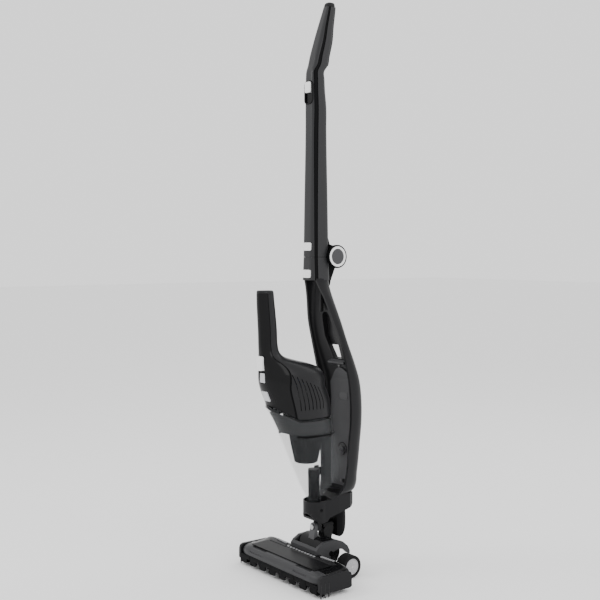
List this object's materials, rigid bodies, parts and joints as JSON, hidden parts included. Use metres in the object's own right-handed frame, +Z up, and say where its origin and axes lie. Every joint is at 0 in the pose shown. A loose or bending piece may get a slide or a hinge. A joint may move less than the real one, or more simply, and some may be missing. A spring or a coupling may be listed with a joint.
{
  "type": "cordless stick vacuum",
  "caption": "Upright cordless stick vacuum with a brush head on wheels, a swivelling neck, a folding handle tube and a lift-out hand unit with a clear dust bin.",
  "frame": {"origin": "middle of the bounding box at floor level", "axes": "+Z up along the stick, +X across the floor head, -Y the front where the brush window and the hand unit face"},
  "size_m": [0.26, 0.2266, 1.1],
  "materials": {
    "sole_plate": "as moulded",
    "head_shell": "as moulded",
    "front_bumper": "plain",
    "brush_window": "as moulded",
    "end_caps": "as moulded",
    "edge_bristles": "plain",
    "rib_strips": "as moulded",
    "saddle_cover": "as moulded",
    "brush_motor": "plain",
    "drive_belt": "plain",
    "brush_bearings": "plain",
    "axles": "plain",
    "sole_screws": "plain",
    "brush_core": "as moulded",
    "brush_bristles": "plain",
    "motor_pulley": "plain",
    "tyre_left": "plain",
    "hub_left": "as moulded",
    "tyre_right": "plain",
    "hub_right": "as moulded",
    "front_roller_left": "plain",
    "front_roller_right": "plain",
    "tilt_drum": "as moulded",
    "drum_ear": "as moulded",
    "swivel_pin": "plain",
    "neck_column": "as moulded",
    "dock_cup": "as moulded",
    "frame_front_shell": "as moulded",
    "frame_rear_shell": "as moulded",
    "tray_panel": "as moulded",
    "charge_contacts": "as moulded",
    "charge_jack": "as moulded",
    "frame_screws": "plain",
    "hinge_lower": "as moulded",
    "dock_button": "as moulded",
    "port_sleeve": "as moulded",
    "tube_front_shell": "as moulded",
    "tube_rear_shell": "as moulded",
    "side_inlays": "as moulded",
    "grip_pad": "plain",
    "grip_end_cap": "as moulded",
    "switch_well": "as moulded",
    "power_slider": "as moulded",
    "fold_button": "as moulded",
    "hinge_upper": "as moulded",
    "hinge_pin": "plain",
    "fold_knobs": "as moulded",
    "knob_rings": "as moulded",
    "body_front_cover": "as moulded",
    "body_rear_shell": "as moulded",
    "hand_grip_cap": "as moulded",
    "hand_switch": "as moulded",
    "bin_button": "as moulded",
    "battery_cells": "plain",
    "suction_motor": "as moulded",
    "impeller": "as moulded",
    "dust_bin": "plain",
    "filter_unit": "as moulded",
    "inlet_duct": "as moulded",
    "inlet_flap": "as moulded"
  },
  "bodies": {
    "head": {"sole_plate": "sole_plate", "head_shell": "head_shell", "front_bumper": "front_bumper", "brush_window": "brush_window", "end_caps": "end_caps", "edge_bristles": "edge_bristles", "rib_strips": "rib_strips", "saddle_cover": "saddle_cover", "brush_motor": "brush_motor", "drive_belt": "drive_belt", "brush_bearings": "brush_bearings", "axles": "axles", "sole_screws": "sole_screws"},
    "brush": {"brush_core": "brush_core", "brush_bristles": "brush_bristles"},
    "drive_pulley": {"motor_pulley": "motor_pulley"},
    "wheel_left": {"tyre_left": "tyre_left", "hub_left": "hub_left"},
    "wheel_right": {"tyre_right": "tyre_right", "hub_right": "hub_right"},
    "roller_left": {"front_roller_left": "front_roller_left"},
    "roller_right": {"front_roller_right": "front_roller_right"},
    "drum": {"tilt_drum": "tilt_drum", "drum_ear": "drum_ear", "swivel_pin": "swivel_pin"},
    "stick": {"neck_column": "neck_column", "dock_cup": "dock_cup", "frame_front_shell": "frame_front_shell", "frame_rear_shell": "frame_rear_shell", "tray_panel": "tray_panel", "charge_contacts": "charge_contacts", "charge_jack": "charge_jack", "frame_screws": "frame_screws", "hinge_lower": "hinge_lower"},
    "dock_release": {"dock_button": "dock_button"},
    "sleeve": {"port_sleeve": "port_sleeve"},
    "handle": {"tube_front_shell": "tube_front_shell", "tube_rear_shell": "tube_rear_shell", "side_inlays": "side_inlays", "grip_pad": "grip_pad", "grip_end_cap": "grip_end_cap", "switch_well": "switch_well", "hinge_upper": "hinge_upper", "hinge_pin": "hinge_pin", "fold_knobs": "fold_knobs", "knob_rings": "knob_rings"},
    "handle_slider": {"power_slider": "power_slider"},
    "fold_release": {"fold_button": "fold_button"},
    "hand_unit": {"body_front_cover": "body_front_cover", "body_rear_shell": "body_rear_shell", "hand_grip_cap": "hand_grip_cap", "battery_cells": "battery_cells", "suction_motor": "suction_motor"},
    "fan": {"impeller": "impeller"},
    "bin": {"dust_bin": "dust_bin", "filter_unit": "filter_unit", "inlet_duct": "inlet_duct"},
    "hand_slider": {"hand_switch": "hand_switch"},
    "bin_catch": {"bin_button": "bin_button"},
    "flap": {"inlet_flap": "inlet_flap"}
  },
  "joints": [
    {"name": "brush_spin", "type": "hinge", "parent": "head", "child": "brush", "pos_m": [0, -0.04115, 0.02], "axis": [1, 0, 0], "continuous": true},
    {"name": "pulley_spin", "type": "hinge", "parent": "head", "child": "drive_pulley", "pos_m": [0, -0.01115, 0.027], "axis": [1, 0, 0], "continuous": true},
    {"name": "wheel_left_spin", "type": "hinge", "parent": "head", "child": "wheel_left", "pos_m": [-0.063, 0.05185, 0.021], "axis": [1, 0, 0], "continuous": true},
    {"name": "wheel_right_spin", "type": "hinge", "parent": "head", "child": "wheel_right", "pos_m": [0.063, 0.05185, 0.021], "axis": [1, 0, 0], "continuous": true},
    {"name": "roller_left_spin", "type": "hinge", "parent": "head", "child": "roller_left", "pos_m": [-0.119, -0.05515, 0.0067], "axis": [1, 0, 0], "continuous": true},
    {"name": "roller_right_spin", "type": "hinge", "parent": "head", "child": "roller_right", "pos_m": [0.119, -0.05515, 0.0067], "axis": [1, 0, 0], "continuous": true},
    {"name": "neck_tilt", "type": "hinge", "parent": "head", "child": "drum", "pos_m": [0, 0.02785, 0.042], "axis": [1, 0, 0], "range_deg": [-62, 0]},
    {"name": "neck_swivel", "type": "hinge", "parent": "drum", "child": "stick", "pos_m": [0, 0.04285, 0.086], "axis": [0, 1, 0], "range_deg": [-30, 30]},
    {"name": "handle_fold", "type": "hinge", "parent": "stick", "child": "handle", "pos_m": [0, 0.05625, 0.606], "axis": [1, 0, 0], "range_deg": [-160, 0]},
    {"name": "handle_switch", "type": "slide", "parent": "handle", "child": "handle_slider", "axis": [0, 0, -1], "range_m": [0, 0.018]},
    {"name": "fold_press", "type": "slide", "parent": "handle", "child": "fold_release", "axis": [0, 1, 0], "range_m": [0, 0.0025], "stiffness_N_per_m": 600},
    {"name": "dock_press", "type": "slide", "parent": "stick", "child": "dock_release", "axis": [0, 1, 0], "range_m": [0, 0.0025], "stiffness_N_per_m": 600},
    {"name": "dock_tilt", "type": "hinge", "parent": "stick", "child": "sleeve", "pos_m": [0, 0.01785, 0.122], "axis": [1, 0, 0], "range_deg": [0, 8]},
    {"name": "hand_unit_lift", "type": "slide", "parent": "sleeve", "child": "bin", "axis": [0, 0, 1], "range_m": [0, 0.04]},
    {"name": "bin_release", "type": "slide", "parent": "bin", "child": "hand_unit", "axis": [0, 0, 1], "range_m": [0, 0.09]},
    {"name": "hand_switch_slide", "type": "slide", "parent": "hand_unit", "child": "hand_slider", "axis": [0, 0, -1], "range_m": [0, 0.01]},
    {"name": "bin_button_press", "type": "slide", "parent": "hand_unit", "child": "bin_catch", "axis": [0, 0.9205, 0.3907], "range_m": [0, 0.002], "stiffness_N_per_m": 500},
    {"name": "flap_swing", "type": "hinge", "parent": "bin", "child": "flap", "pos_m": [0, 0.03145, 0.1984], "axis": [1, 0, 0], "range_deg": [-28, 0]},
    {"name": "fan_spin", "type": "hinge", "parent": "hand_unit", "child": "fan", "pos_m": [0, -0.01915, 0.31], "axis": [0, -0.2079, 0.9781], "continuous": true}
  ],
  "couplings": [
    {"joint": "pulley_spin", "follows": "brush_spin", "ratio": 1.8333}
  ]
}
